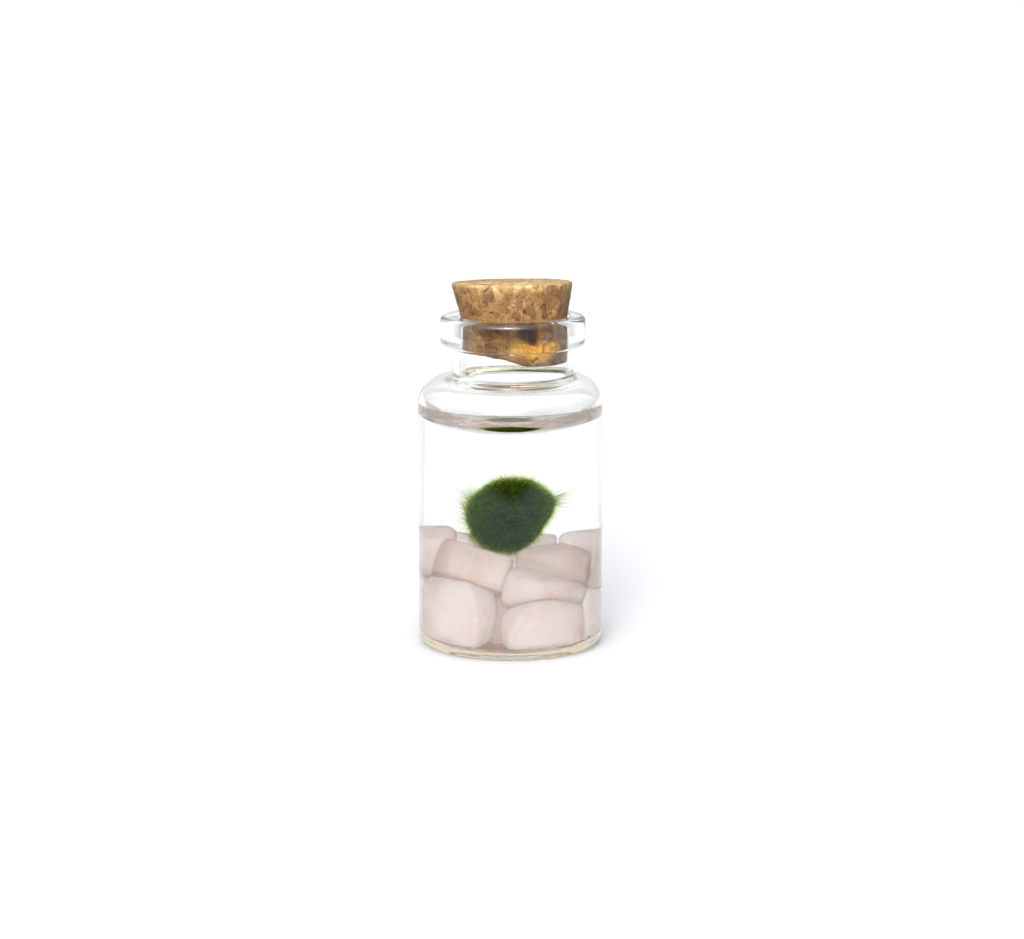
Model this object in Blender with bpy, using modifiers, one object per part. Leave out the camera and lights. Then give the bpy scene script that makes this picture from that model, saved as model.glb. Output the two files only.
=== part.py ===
"""A marimo moss ball in a small corked glass jar, with water and rose quartz stones.

The jar stands on the plane z = 0 with its axis on Z, and the object is seen from -Y.
Lengths are in metres.
"""

import math
import random
from typing import NamedTuple

import bmesh
import bpy
import numpy as np
from mathutils import Euler, Vector

MM = 0.001

# Clear distance kept between pieces that touch each other.
GAP = 0.3 * MM

# Glass jar: a turned shape with an even wall, a rounded shoulder and a thick lip.
JAR_SEGMENTS = 28
BODY_RADIUS = 15.0 * MM
WALL = 1.1 * MM
INNER_RADIUS = BODY_RADIUS - WALL
BASE_RING_RADIUS = 10.6 * MM
PUNT_HEIGHT = 0.4 * MM
HEEL_RADIUS = 2.2 * MM
FLOOR_HEIGHT = 1.2 * MM
FLOOR_RISE = 0.2 * MM
INNER_HEEL_RADIUS = 1.8 * MM
SHOULDER_HEIGHT = 39.7 * MM
SHOULDER_RADIUS = 4.6 * MM
SHOULDER_CENTRE_X = BODY_RADIUS - SHOULDER_RADIUS
NECK_RADIUS = 9.84 * MM
NECK_FILLET = SHOULDER_CENTRE_X - NECK_RADIUS
BORE_RADIUS = 8.85 * MM
BORE_FILLET = 0.9 * MM
LIP_RADIUS = 11.75 * MM
LIP_BOTTOM = 49.1 * MM
LIP_TOP = 54.0 * MM
LIP_ROUNDING = 0.9 * MM
LIP_FILLET = 0.5 * MM
MOUTH_ROUNDING = 0.4 * MM

# The neck stands a little off the body's axis, and its wall is thicker on one side.
NECK_SHIFT = 0.4 * MM
BORE_SHIFT = 0.25 * MM
SHIFT_START = 40.0 * MM
SHIFT_END = 46.0 * MM

# Cork: a tapered plug whose lower part is squeezed in the bore, and whose top leans.
CORK_TOP_HEIGHT = 59.3 * MM
CORK_TOP_RADIUS = 9.7 * MM
CORK_GRIP_HEIGHT = 53.0 * MM
CORK_GRIP_RADIUS = 8.42 * MM
CORK_BEVEL = 0.35 * MM
CORK_LEAN_BACK = math.radians(-3.5)
CORK_LEAN_SIDE = math.radians(-0.7)
CORK_TOP_SHIFT = -0.35 * MM
CORK_END_HEIGHT = 47.3 * MM
CORK_END = (
    # place across the cork, height of its lower end there
    (-8.5 * MM, 48.75 * MM),
    (-5.0 * MM, 48.30 * MM),
    (-1.8 * MM, 48.00 * MM),
    (1.5 * MM, 47.10 * MM),
    (5.4 * MM, 46.25 * MM),
    (8.5 * MM, 46.65 * MM),
)

# Water: its surface climbs the glass, and flattens over the capillary length.
WATER_LEVEL = 35.2 * MM
WALL_SLOPE = math.radians(74.0)
CAPILLARY_LENGTH = 4.2 * MM
SURFACE_SLOPES = tuple(math.radians(angle) for angle in (14.0, 34.0, 58.0))
WATER_RADIUS = INNER_RADIUS - GAP
STONE_CLEARANCE = 0.55 * MM

# Moss ball, out to the tips of its filaments, with a tuft on each side.
BALL_CENTRE = Vector((0.0, 0.0, 22.0)) * MM
BALL_HALF = Vector((5.9, 5.9, 6.5)) * MM
BALL_CUTS = 3
BALL_TUFTS = (
    # direction, how far the tips reach from the ball's centre, narrowness
    (Vector((1.0, -0.1, 0.30)), 8.1 * MM, 7.0),
    (Vector((-1.0, -0.1, 0.25)), 7.3 * MM, 4.0),
)

# Rose quartz stones.
FRONT_STONE_CUTS = 3
BACK_STONE_CUTS = 2
FRONT_STONE_LIMIT = -2.0 * MM
BLOCK_POWER = 6.5
STONE_POWER = 14.0
STONE_CHIPS = 6
CHIP_DEPTH = (0.76, 0.90)
WALL_CLEARANCE = 0.3 * MM
NEIGHBOUR_REACH = 14.0 * MM


class Stone(NamedTuple):
    """A stone's centre and half sizes in millimetres, and its turns about X, Y and Z in degrees."""

    place: tuple
    half: tuple
    turn: tuple


STONES = (
    # On the floor at the front: the two that show whole.
    Stone((-8.0, -6.6, 6.7), (6.3, 5.0, 6.2), (8, -2, -44)),
    Stone((5.2, -8.9, 4.9), (6.5, 4.5, 4.9), (-6, 6, 18)),
    # On the floor in the middle and at the right.
    Stone((-1.0, -0.6, 6.0), (5.8, 5.8, 6.4), (5, 10, 20)),
    Stone((10.0, -1.0, 5.4), (5.4, 6.8, 6.2), (0, -8, 12)),
    # On the floor at the back.
    Stone((-8.6, 3.8, 6.6), (6.6, 6.6, 6.8), (10, 5, 30)),
    Stone((-2.6, 9.0, 6.8), (6.6, 6.2, 7.0), (-8, 4, 8)),
    Stone((5.2, 7.6, 6.4), (6.8, 6.6, 6.6), (6, -6, -28)),
    # Second layer at the front.
    Stone((-6.0, -4.2, 13.5), (7.2, 5.6, 3.9), (-8, 20, 6)),
    Stone((4.6, -6.2, 10.2), (6.6, 5.4, 3.2), (10, 13, 6)),
    Stone((5.9, -3.6, 13.4), (5.8, 5.0, 3.6), (5, 5, 20)),
    Stone((10.2, 0.6, 12.8), (5.0, 6.4, 6.0), (-6, 2, 8)),
    Stone((-10.6, -1.6, 15.6), (3.6, 5.0, 3.4), (12, -8, -20)),
    # Second layer in the middle and at the back.
    Stone((0.2, 1.0, 11.4), (5.6, 5.6, 4.4), (0, 6, 40)),
    Stone((-8.0, 5.6, 13.7), (6.0, 6.0, 4.6), (-6, 8, 34)),
    Stone((-0.6, 9.4, 12.4), (6.0, 5.6, 4.0), (8, -5, 4)),
    Stone((6.0, 7.4, 11.6), (6.2, 5.8, 3.8), (5, 4, -40)),
)

# Cut corners of single stones: the stone's place in the list, the direction of each corner,
# and the share of the corner's reach that is left.
STONE_CUTS = {
    0: (((0.80, -0.45, 0.50), 0.80), ((0.80, -0.45, -0.50), 0.84)),
    1: (((-0.70, -0.30, 0.70), 0.80), ((0.72, -0.30, 0.66), 0.76)),
}


def new_collection(name):
    """Add an empty collection to the scene."""
    collection = bpy.data.collections.new(name)
    bpy.context.scene.collection.children.link(collection)
    return collection


def new_material(name, colour, roughness, transmission=0.0, ior=1.5):
    """A Principled material with one colour."""
    material = bpy.data.materials.new(name)
    material.use_nodes = True
    shader = material.node_tree.nodes["Principled BSDF"]
    shader.inputs["Base Color"].default_value = (*colour, 1.0)
    shader.inputs["Roughness"].default_value = roughness
    shader.inputs["Metallic"].default_value = 0.0
    shader.inputs["Transmission Weight"].default_value = transmission
    shader.inputs["IOR"].default_value = ior
    return material


def add_object(name, mesh, collection, material=None):
    """Link a mesh as a smooth-shaded object."""
    item = bpy.data.objects.new(name, mesh)
    collection.objects.link(item)
    if material is not None:
        mesh.materials.append(material)
    mesh.shade_smooth()
    return item


def mesh_from(name, bm):
    """Turn a bmesh into a mesh and free it."""
    mesh = bpy.data.meshes.new(name)
    bm.to_mesh(mesh)
    bm.free()
    return mesh


def arc(centre_x, centre_z, radius, start, end, steps):
    """Points of an arc in the X-Z plane; the angles are in degrees from +X towards +Z."""
    points = []
    for step in range(steps + 1):
        angle = math.radians(start + (end - start) * step / steps)
        points.append((centre_x + radius * math.cos(angle), centre_z + radius * math.sin(angle)))
    return points


def smooth_step(value, start, end):
    """0 before the start, 1 after the end, and a smooth rise between them."""
    share = min(1.0, max(0.0, (value - start) / (end - start)))
    return share * share * (3.0 - 2.0 * share)


def turned(name, profile, collection, material=None):
    """Turn a profile of (x, z) points, which ends on the axis, about Z."""
    bm = bmesh.new()
    points = [bm.verts.new((x, 0.0, z)) for x, z in profile]
    for first, second in zip(points, points[1:]):
        bm.edges.new((first, second))
    item = add_object(name, mesh_from(name, bm), collection, material)
    screw = item.modifiers.new("Turn", "SCREW")
    screw.axis = "Z"
    screw.steps = JAR_SEGMENTS
    screw.render_steps = JAR_SEGMENTS
    screw.use_merge_vertices = True
    screw.merge_threshold = 0.01 * MM
    return item


def settled(item):
    """The object's mesh as its modifiers leave it; the object is removed."""
    evaluated = item.evaluated_get(bpy.context.evaluated_depsgraph_get())
    mesh = bpy.data.meshes.new_from_object(evaluated)
    bpy.data.objects.remove(item)
    return mesh


def jar_inside():
    """The inner wall, from the middle of the floor up to the bore."""
    heel_x = INNER_RADIUS - INNER_HEEL_RADIUS
    heel_z = FLOOR_HEIGHT + INNER_HEEL_RADIUS
    inner_shoulder = SHOULDER_RADIUS - WALL
    ceiling = SHOULDER_HEIGHT + inner_shoulder
    points = [(0.0, FLOOR_HEIGHT + FLOOR_RISE)]
    points += arc(heel_x, heel_z, INNER_HEEL_RADIUS, -90, 0, 2)
    points += arc(SHOULDER_CENTRE_X, SHOULDER_HEIGHT, inner_shoulder, 0, 90, 4)
    points += arc(BORE_RADIUS + BORE_FILLET, ceiling + BORE_FILLET, BORE_FILLET, -90, -180, 2)
    return points


def jar_lip():
    """The mouth and the thick lip, from the bore to the neck below the lip."""
    edge = LIP_RADIUS - LIP_ROUNDING
    points = arc(BORE_RADIUS + MOUTH_ROUNDING, LIP_TOP - MOUTH_ROUNDING, MOUTH_ROUNDING, 180, 90, 2)
    points += arc(edge, LIP_TOP - LIP_ROUNDING, LIP_ROUNDING, 90, 0, 3)
    points += arc(edge, LIP_BOTTOM + LIP_ROUNDING, LIP_ROUNDING, 0, -90, 3)
    points += arc(NECK_RADIUS + LIP_FILLET, LIP_BOTTOM - LIP_FILLET, LIP_FILLET, 90, 180, 2)
    return points


def jar_outside():
    """The outer wall, from the foot of the neck to the middle of the underside."""
    shoulder_top = SHOULDER_HEIGHT + SHOULDER_RADIUS
    points = arc(NECK_RADIUS + NECK_FILLET, shoulder_top + NECK_FILLET, NECK_FILLET, 180, 270, 2)
    points += arc(SHOULDER_CENTRE_X, SHOULDER_HEIGHT, SHOULDER_RADIUS, 90, 0, 5)[1:]
    points += arc(BODY_RADIUS - HEEL_RADIUS, HEEL_RADIUS, HEEL_RADIUS, 0, -90, 3)
    for share in (1.0, 0.8, 0.4, 0.0):
        points.append((BASE_RING_RADIUS * share, PUNT_HEIGHT * (1.0 - share * share)))
    return points


def neck_shift(radius, height):
    """How far the jar's neck and bore stand to the side at a radius and a height."""
    inward = 1.0 - smooth_step(radius, BORE_RADIUS, NECK_RADIUS)
    return (NECK_SHIFT + BORE_SHIFT * inward) * smooth_step(height, SHIFT_START, SHIFT_END)


def make_jar(collection):
    """One piece of clear glass."""
    material = new_material("clear_glass", (0.95, 0.97, 0.94), 0.02, transmission=1.0, ior=1.5)
    mesh = settled(turned("glass_jar", jar_inside() + jar_lip() + jar_outside(), collection))
    for vertex in mesh.vertices:
        vertex.co.x += neck_shift(math.hypot(vertex.co.x, vertex.co.y), vertex.co.z)
    add_object("glass_jar", mesh, collection, material)


def cork_end(x):
    """The height of the cork's worn lower end at a place across it."""
    return float(np.interp(x, *zip(*CORK_END)))


def seat_cork(point):
    """Where a point of an upright cork lies when its grip fills the bore and its top leans."""
    top = CORK_TOP_HEIGHT - CORK_GRIP_HEIGHT
    share = min(1.0, max(0.0, (point.z - CORK_GRIP_HEIGHT) / top))
    pivot = Vector((0.0, 0.0, CORK_GRIP_HEIGHT))
    lean = Euler((CORK_LEAN_BACK * share, CORK_LEAN_SIDE * share, 0.0)).to_matrix()
    side = Vector((NECK_SHIFT + BORE_SHIFT + CORK_TOP_SHIFT * share, 0.0, 0.0))
    return pivot + lean @ (point - pivot) + side


def make_cork(collection):
    """A tapered plug of pressed cork, pushed into the mouth."""
    material = new_material("pressed_cork", (0.55, 0.33, 0.17), 0.85)
    profile = [
        (0.0, CORK_TOP_HEIGHT),
        (CORK_TOP_RADIUS, CORK_TOP_HEIGHT),
        (CORK_GRIP_RADIUS, CORK_GRIP_HEIGHT),
        (CORK_GRIP_RADIUS, CORK_END_HEIGHT),
        (CORK_GRIP_RADIUS / 2, CORK_END_HEIGHT),
        (0.0, CORK_END_HEIGHT),
    ]
    mesh = settled(turned("cork", profile, collection))
    for vertex in mesh.vertices:
        if vertex.co.z < CORK_GRIP_HEIGHT - GAP:
            vertex.co.z = cork_end(vertex.co.x)
        vertex.co = seat_cork(vertex.co)
    cork = add_object("cork", mesh, collection, material)
    bevel = cork.modifiers.new("Worn edges", "BEVEL")
    bevel.width = CORK_BEVEL
    bevel.segments = 2
    bevel.limit_method = "ANGLE"


def unit_cube_sphere(cuts):
    """A cube with each side divided, whose points are directions from its centre."""
    bm = bmesh.new()
    bmesh.ops.create_cube(bm, size=2.0)
    bmesh.ops.subdivide_edges(bm, edges=bm.edges[:], cuts=cuts, use_grid_fill=True)
    for vertex in bm.verts:
        spread = [math.tan(value * math.pi / 4) for value in vertex.co]
        vertex.co = Vector(spread).normalized()
    return bm


def ball_reach(direction, grow=0.0):
    """How far the moss ball's filaments reach from its centre in a direction."""
    scaled = [direction[axis] / BALL_HALF[axis] for axis in range(3)]
    reach = 1.0 / Vector(scaled).length
    for tuft, tips, narrowness in BALL_TUFTS:
        share = max(0.0, direction.dot(tuft.normalized())) ** (2.0 * narrowness)
        reach += max(0.0, tips - reach) * share
    return reach + grow


def ball_support(normal):
    """The distance from the ball's centre to the plane that touches its round part."""
    return Vector([BALL_HALF[axis] * normal[axis] for axis in range(3)]).length


def make_ball_mesh(name, grow=0.0):
    """The moss ball's mesh, in place."""
    bm = unit_cube_sphere(BALL_CUTS)
    for vertex in bm.verts:
        vertex.co = BALL_CENTRE + vertex.co * ball_reach(vertex.co, grow)
    return mesh_from(name, bm)


def own_facets(stone, seed):
    """A stone's block faces and chipped corners, as pairs of normal and distance."""
    turn = Euler([math.radians(angle) for angle in stone.turn]).to_matrix()
    axes = [turn.col[axis].normalized() for axis in range(3)]
    half = [size * MM for size in stone.half]
    facets = []
    for axis, size in zip(axes, half):
        facets.append((axis, size))
        facets.append((-axis, size))
    source = random.Random(seed)
    for _ in range(STONE_CHIPS):
        normal = Vector([source.choice((-1.0, 1.0)) * source.uniform(0.35, 1.0) for _ in range(3)])
        normal = (turn @ normal).normalized()
        corner = sum(size * abs(axis.dot(normal)) for axis, size in zip(axes, half))
        facets.append((normal, corner * source.uniform(*CHIP_DEPTH)))
    for way, share in STONE_CUTS.get(seed, ()):
        normal = Vector(way).normalized()
        corner = sum(size * abs(axis.dot(normal)) for axis, size in zip(axes, half))
        facets.append((normal, corner * share))
    return facets


def reach_within(facets, direction, power, grow=0.0):
    """How far a block with these facets reaches in a direction; its edges are rounded."""
    total = 0.0
    for normal, distance in facets:
        total += max(0.0, normal.dot(direction) / (distance + grow)) ** power
    return max(total, 1e-30) ** (-1.0 / power)


def centre_of(stone):
    """A stone's centre in metres."""
    return Vector(stone.place) * MM


def neighbour_facets(index, blocks):
    """Faces that part a stone from each stone near it, halfway between their blocks."""
    here = centre_of(STONES[index])
    facets = []
    for other, block in enumerate(blocks):
        way = centre_of(STONES[other]) - here
        if other == index or way.length > NEIGHBOUR_REACH:
            continue
        normal = way.normalized()
        mine = reach_within(blocks[index], normal, BLOCK_POWER)
        theirs = reach_within(block, -normal, BLOCK_POWER)
        facets.append((normal, way.length * mine / (mine + theirs) - GAP / 2))
    return facets


def jar_facets(stone):
    """Faces that keep a stone off the jar's floor and its rounded inner heel."""
    here = centre_of(stone)
    facets = [(Vector((0.0, 0.0, -1.0)), here.z - FLOOR_HEIGHT - FLOOR_RISE - WALL_CLEARANCE)]
    outward = math.atan2(here.y, here.x)
    heel_x = INNER_RADIUS - INNER_HEEL_RADIUS
    heel_z = FLOOR_HEIGHT + INNER_HEEL_RADIUS
    for step in range(-3, 4):
        angle = outward + math.radians(20.0 * step)
        normal = Vector((math.cos(angle), math.sin(angle), -1.0)).normalized()
        heel = (heel_x - heel_z) * math.sqrt(0.5) + INNER_HEEL_RADIUS
        facets.append((normal, heel - here.dot(normal) - WALL_CLEARANCE))
    return facets


def ball_facet(stone):
    """The face that keeps a stone off the moss ball."""
    way = BALL_CENTRE - centre_of(stone)
    normal = way.normalized()
    return normal, way.length - ball_support(normal) - GAP / 2


def distance_to_wall(here, direction):
    """The distance from a point inside the jar to its inner wall in a direction."""
    flat = Vector((direction.x, direction.y))
    if flat.length < 1e-6:
        return math.inf
    place = Vector((here.x, here.y))
    limit = INNER_RADIUS - WALL_CLEARANCE
    square = flat.length_squared
    middle = place.dot(flat)
    rest = place.length_squared - limit * limit
    return (math.sqrt(middle * middle - square * rest) - middle) / square


def make_stone_mesh(name, index, facets, grow=0.0):
    """A stone's mesh in place: a rounded block within the facets around it and the jar's wall."""
    here = centre_of(STONES[index])
    block, around = facets
    bm = unit_cube_sphere(FRONT_STONE_CUTS if here.y < FRONT_STONE_LIMIT else BACK_STONE_CUTS)
    for vertex in bm.verts:
        direction = vertex.co.normalized()
        limits = (
            reach_within(block, direction, BLOCK_POWER, grow),
            reach_within(around, direction, STONE_POWER, grow),
            distance_to_wall(here, direction) + grow,
        )
        vertex.co = here + direction * sum(limit ** -STONE_POWER for limit in limits) ** (-1.0 / STONE_POWER)
    return mesh_from(name, bm)


def all_facets():
    """The facets of every stone: its own, and those that the pieces around it set."""
    blocks = [own_facets(stone, seed) for seed, stone in enumerate(STONES)]
    facets = []
    for index, stone in enumerate(STONES):
        around = neighbour_facets(index, blocks) + jar_facets(stone)
        facets.append((blocks[index], around + [ball_facet(stone)]))
    return facets


def make_stones(collection, facets):
    """Every stone as its own piece."""
    material = new_material("rose_quartz", (0.86, 0.74, 0.70), 0.25)
    for index in range(len(STONES)):
        name = f"rose_quartz_{index + 1:02d}"
        mesh = make_stone_mesh(name, index, facets[index])
        add_object(name, mesh, collection, material)


def make_ball(collection):
    """The moss ball."""
    material = new_material("moss", (0.05, 0.16, 0.02), 0.95)
    add_object("moss_ball", make_ball_mesh("moss_ball"), collection, material)


def meniscus(slope):
    """How far from the wall, and how high, the climbing water has a slope."""
    reach = [math.log(math.tan(angle / 4)) + 2.0 * math.cos(angle / 2) for angle in (WALL_SLOPE, slope)]
    return CAPILLARY_LENGTH * (reach[0] - reach[1]), 2.0 * CAPILLARY_LENGTH * math.sin(slope / 2)


def water_profile():
    """The water's column, from the middle of its surface to the middle of its bottom."""
    points = [(0.0, WATER_LEVEL)]
    for slope in SURFACE_SLOPES:
        away, climb = meniscus(slope)
        points.append((min(INNER_RADIUS - away, WATER_RADIUS), WATER_LEVEL + climb))
    bottom = FLOOR_HEIGHT + FLOOR_RISE + GAP
    heel = INNER_HEEL_RADIUS
    points += arc(WATER_RADIUS - heel, bottom + heel, heel, 0, -90, 3)
    points.append((0.0, bottom))
    return points


def keep_largest_body(mesh):
    """Remove the drops of a mesh that are shut off from its largest body."""
    bm = bmesh.new()
    bm.from_mesh(mesh)
    waiting = set(bm.faces)
    bodies = []
    while waiting:
        body = [waiting.pop()]
        for face in body:
            for edge in face.edges:
                found = [other for other in edge.link_faces if other in waiting]
                waiting.difference_update(found)
                body.extend(found)
        bodies.append(body)
    bodies.sort(key=len)
    for body in bodies[:-1]:
        bmesh.ops.delete(bm, geom=body, context="FACES")
    bmesh.ops.triangulate(bm, faces=bm.faces[:])
    bm.to_mesh(mesh)
    bm.free()


def make_water(collection, cutters, facets):
    """The water around the stones and the moss ball."""
    material = new_material("water", (0.96, 0.98, 0.97), 0.0, transmission=1.0, ior=1.333)
    for index in range(len(STONES)):
        name = f"cut_stone_{index + 1:02d}"
        mesh = make_stone_mesh(name, index, facets[index], grow=STONE_CLEARANCE)
        add_object(name, mesh, cutters)
    add_object("cut_ball", make_ball_mesh("cut_ball", grow=STONE_CLEARANCE), cutters)
    for cutter in cutters.objects:
        cutter.hide_render = True
        cutter.display_type = "WIRE"
    column = turned("water_column", water_profile(), collection)
    boolean = column.modifiers.new("Stones and ball", "BOOLEAN")
    boolean.operation = "DIFFERENCE"
    boolean.solver = "EXACT"
    boolean.operand_type = "COLLECTION"
    boolean.collection = cutters
    mesh = settled(column)
    keep_largest_body(mesh)
    add_object("water", mesh, collection, material)


def main():
    """Build every piece."""
    for item in list(bpy.data.objects):
        bpy.data.objects.remove(item)
    pieces = new_collection("Marimo jar")
    cutters = new_collection("Cutters")
    facets = all_facets()
    make_jar(pieces)
    make_cork(pieces)
    make_ball(pieces)
    make_stones(pieces, facets)
    make_water(pieces, cutters, facets)


main()
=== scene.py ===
"""A marimo moss ball in a small corked glass jar, with water and rose quartz stones."""

import math
import random

import bmesh
import bpy
import numpy as np
from mathutils import Euler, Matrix, Vector, kdtree, noise


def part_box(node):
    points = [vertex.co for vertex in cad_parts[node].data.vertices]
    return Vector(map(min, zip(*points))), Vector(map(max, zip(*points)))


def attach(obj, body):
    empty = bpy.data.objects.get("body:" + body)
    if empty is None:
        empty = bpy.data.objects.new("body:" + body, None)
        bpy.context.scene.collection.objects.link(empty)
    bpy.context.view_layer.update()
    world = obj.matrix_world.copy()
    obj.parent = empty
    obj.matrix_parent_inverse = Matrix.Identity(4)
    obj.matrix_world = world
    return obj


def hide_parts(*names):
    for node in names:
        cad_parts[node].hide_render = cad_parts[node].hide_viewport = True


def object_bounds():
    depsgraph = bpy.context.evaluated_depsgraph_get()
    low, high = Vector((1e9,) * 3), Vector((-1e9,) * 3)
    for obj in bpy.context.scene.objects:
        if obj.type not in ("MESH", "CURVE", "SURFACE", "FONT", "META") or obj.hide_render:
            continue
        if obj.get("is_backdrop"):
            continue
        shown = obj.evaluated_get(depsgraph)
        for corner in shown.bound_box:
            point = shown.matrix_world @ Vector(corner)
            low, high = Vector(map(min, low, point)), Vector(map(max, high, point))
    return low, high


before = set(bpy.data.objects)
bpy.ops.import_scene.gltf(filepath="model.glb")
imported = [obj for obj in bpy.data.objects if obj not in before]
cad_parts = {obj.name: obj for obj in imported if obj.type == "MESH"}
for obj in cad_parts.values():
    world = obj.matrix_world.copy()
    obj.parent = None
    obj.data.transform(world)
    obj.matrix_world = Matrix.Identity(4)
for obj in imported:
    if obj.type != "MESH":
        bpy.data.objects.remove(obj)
cad_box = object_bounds()

MM = 0.001

# Camera: where it stands, what it aims at, and its lens and sensor in millimetres.
CAMERA_PLACE = (0.0, -500.0 * MM, 120.0 * MM)
CAMERA_AIM = (0.27 * MM, 0.0, 28.7 * MM)
CAMERA_LENS = 110.0
CAMERA_SENSOR = 36.0
CAMERA_CLIP = 10.0 * MM

# Glass jar. The radii are measured from the jar's axis and the heights from its base.
JAR_SEGMENTS = 192
BODY_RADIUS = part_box("glass_jar")[1][1]
WALL = 1.1 * MM
INNER_RADIUS = BODY_RADIUS - WALL
BASE_RING_RADIUS = 10.6 * MM
PUNT_HEIGHT = 0.4 * MM
HEEL_RADIUS = 2.2 * MM
FLOOR_HEIGHT = 1.2 * MM
FLOOR_RISE = 0.2 * MM
INNER_HEEL_RADIUS = 1.8 * MM
INNER_HEEL_X = INNER_RADIUS - INNER_HEEL_RADIUS
INNER_HEEL_Z = FLOOR_HEIGHT + INNER_HEEL_RADIUS
SHOULDER_HEIGHT = 39.7 * MM
SHOULDER_RADIUS = 4.6 * MM
SHOULDER_CENTRE_X = BODY_RADIUS - SHOULDER_RADIUS
NECK_RADIUS = 9.84 * MM
NECK_FILLET = SHOULDER_CENTRE_X - NECK_RADIUS
BORE_RADIUS = 8.85 * MM
BORE_FILLET = 0.9 * MM
LIP_RADIUS = 11.75 * MM
LIP_BOTTOM = 49.1 * MM
LIP_TOP = 54.0 * MM
LIP_ROUNDING = 0.9 * MM
LIP_FILLET = 0.5 * MM
MOUTH_ROUNDING = 0.4 * MM
GLASS_ABSORPTION = (0.64, 0.73, 0.42, 1.0)
GLASS_DENSITY = 13.0

# The neck stands a little off the body's axis, and its wall is thicker on one side.
NECK_SHIFT = 0.4 * MM
BORE_SHIFT = 0.25 * MM
SHIFT_START = 40.0 * MM
SHIFT_END = 46.0 * MM

# Refractive indices. Where glass or quartz meets water, the index is the ratio of the two.
GLASS_INDEX = 1.5
WATER_INDEX = 1.333
QUARTZ_INDEX = 1.54
CLEAR = {"Base Color": (1.0, 1.0, 1.0, 1.0), "Roughness": 0.0, "Transmission Weight": 1.0}

# Water: its surface climbs the glass at this slope, and flattens over the capillary length.
WATER_LEVEL = 35.2 * MM
WALL_SLOPE = math.radians(66.0)
CAPILLARY_LENGTH = 4.2 * MM
WATER_FILM = 0.005 * MM
SURFACE_STEPS = 64
SURFACE_SPACING = 1.6
CONTACT_HEIGHT = WATER_LEVEL + 2.0 * CAPILLARY_LENGTH * math.sin(WALL_SLOPE / 2)

# Water that creeps between the cork and the front of the mouth.
SEEP_BOTTOM = 48.6 * MM
SEEP_FRONT = -6.4 * MM
SEEP_WANDER = 4.0 * MM

# Cork: a tapered plug whose lower part is squeezed in the bore, and whose top leans.
CORK_SEGMENTS = 320
CORK_TOP_HEIGHT = 59.3 * MM
CORK_TOP_RADIUS = 9.7 * MM
CORK_GRIP_HEIGHT = 53.0 * MM
CORK_GRIP_RADIUS = 8.42 * MM
CORK_EDGE = 0.35 * MM
CORK_LEAN_BACK = math.radians(-3.5)
CORK_LEAN_SIDE = math.radians(-0.7)
CORK_TOP_SHIFT = -0.35 * MM
CORK_END = (
    # place across the cork, height of its lower end there
    (-8.5 * MM, 48.75 * MM),
    (-5.0 * MM, 48.35 * MM),
    (-1.8 * MM, 47.95 * MM),
    (-0.4 * MM, 47.55 * MM),
    (1.9 * MM, 46.75 * MM),
    (5.4 * MM, 46.65 * MM),
    (8.5 * MM, 46.65 * MM),
)
CORK_END_HEIGHT = 47.3 * MM

# Cork granules: their number, and how far and how often their seams wander.
GRANULE_SEED = 17
WARP_SEED = 6
GRANULE_COUNT = 4200
GRANULE_WARP = 0.45 * MM
WARP_FREQUENCY = 700.0
SEAM_WIDTH = 0.18 * MM
SEAM_DEPTH = 0.05 * MM
CRACK_SHARE = 0.07
CRACK_WIDTH = 0.24 * MM
CRACK_DEPTH = 0.16 * MM

# Colours of the granules, their streaks and specks, and of what lies between them.
CORK_BROWNS = (
    (0.0, (0.119, 0.049, 0.013)),
    (0.2, (0.180, 0.081, 0.022)),
    (0.5, (0.216, 0.114, 0.026)),
    (0.7, (0.251, 0.150, 0.040)),
    (0.85, (0.207, 0.097, 0.030)),
    (1.0, (0.308, 0.202, 0.075)),
)
STREAK_AXIS = (0.6, 0.5, 0.6)
STREAK_TURN = 40.0
STREAK_SCALE = (900.0, 900.0, 3600.0)
STREAK_SHADES = (
    (0.30, (0.34, 0.26, 0.20)),
    (0.44, (0.86, 0.82, 0.76)),
    (0.56, (1.0, 1.0, 1.0)),
    (0.72, (1.3, 1.38, 1.5)),
)
SPECK_SHADES = ((0.30, (0.25, 0.16, 0.10)), (0.40, (1.0, 1.0, 1.0)))
SEAM_SHARE = 0.35
SEAM_BROWN = (0.17, 0.070, 0.022)
CRACK_BROWN = (0.050, 0.018, 0.008)

# Patches of the cork and the quartz that have another tint; on the cork some are stains and some are
# painted light and shade. Their edges wander.
PATCH_WANDER = 2.0 * MM
PATCH_CORE = 0.55
CORK_STAINS_AND_PAINTED_LIGHT = (
    # middle and half sizes in millimetres, tint
    ((-1.0, -9.0, 52.0), (8.5, 4.0, 1.2), (0.50, 0.42, 0.32)),
    ((2.4, -9.0, 51.9), (2.2, 4.0, 1.8), (0.38, 0.25, 0.12)),
    ((5.2, -9.0, 49.0), (6.5, 4.5, 2.3), (2.90, 2.75, 0.80)),
    ((-4.5, -9.0, 51.0), (5.5, 4.0, 1.6), (0.90, 0.80, 0.55)),
    # Painted light: the top lightened, as if lit from above.
    ((0.0, 0.0, 61.5), (30.0, 30.0, 3.1), (1.85, 2.45, 3.60)),
    ((-5.0, -9.0, 49.6), (4.5, 4.5, 1.6), (1.10, 1.00, 0.80)),
    ((-2.2, -9.0, 49.1), (0.9, 3.0, 0.35), (0.25, 0.15, 0.12)),
    # Painted shade: the left and right sides darkened, where they turn away from the light.
    ((9.5, -5.0, 55.0), (2.4, 6.5, 7.0), (0.80, 0.78, 0.74)),
    ((-9.5, -5.0, 55.0), (1.6, 6.5, 7.0), (0.84, 0.82, 0.78)),
)

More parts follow.
